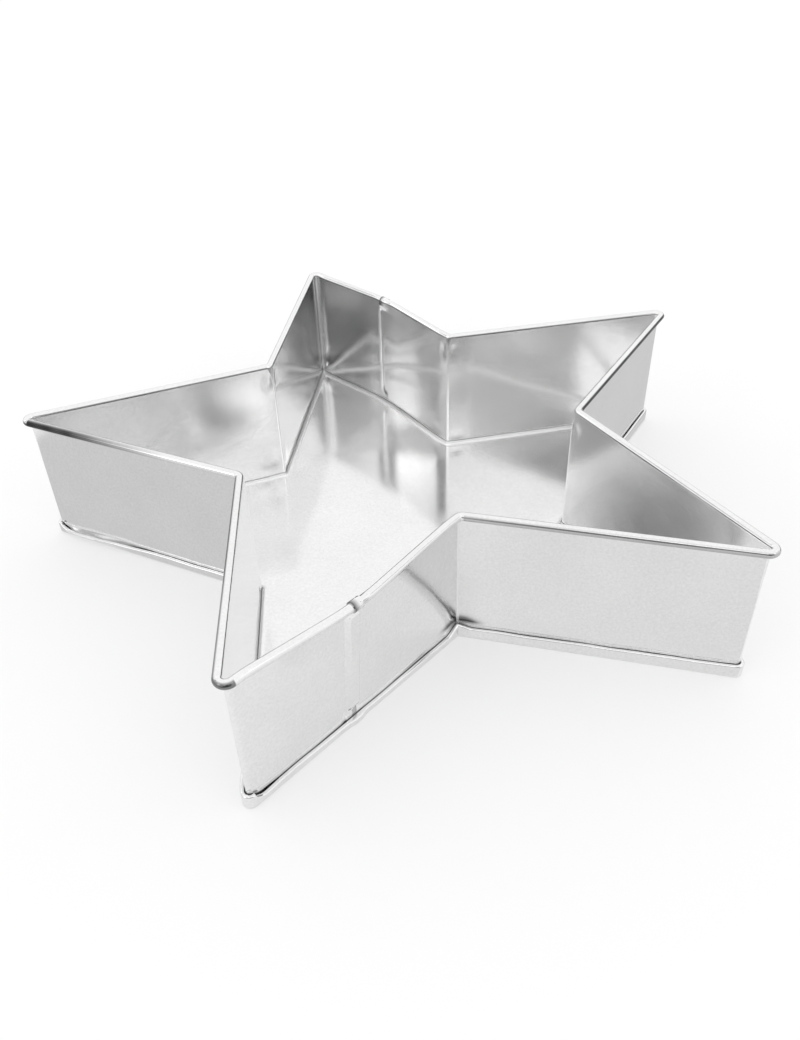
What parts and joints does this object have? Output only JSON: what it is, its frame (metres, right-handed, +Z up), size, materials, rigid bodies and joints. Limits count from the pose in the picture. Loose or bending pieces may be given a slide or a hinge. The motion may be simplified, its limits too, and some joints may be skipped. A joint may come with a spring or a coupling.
{
  "type": "star cake pan",
  "caption": "Star-shaped cake pan of seamed tin plate, open at the top, with a wired rim, a folded base seam and lock seams in its wall.",
  "frame": {"origin": "centre of the star on the underside of the base", "axes": "+Z up out of the open mouth, +Y towards the back tip, +X to the right as the front seam is seen from outside"},
  "size_m": [0.257, 0.2447, 0.0526],
  "materials": {
    "tin_plate": "bright rolled tin plate, lightly scratched, with dull bloom in the folds",
    "rim_wire_steel": "plain drawn steel wire"
  },
  "bodies": {
    "root": {"base_sheet": "tin_plate", "wall_strip_left": "tin_plate", "wall_strip_right": "tin_plate", "rim_wire": "rim_wire_steel"}
  },
  "joints": []
}
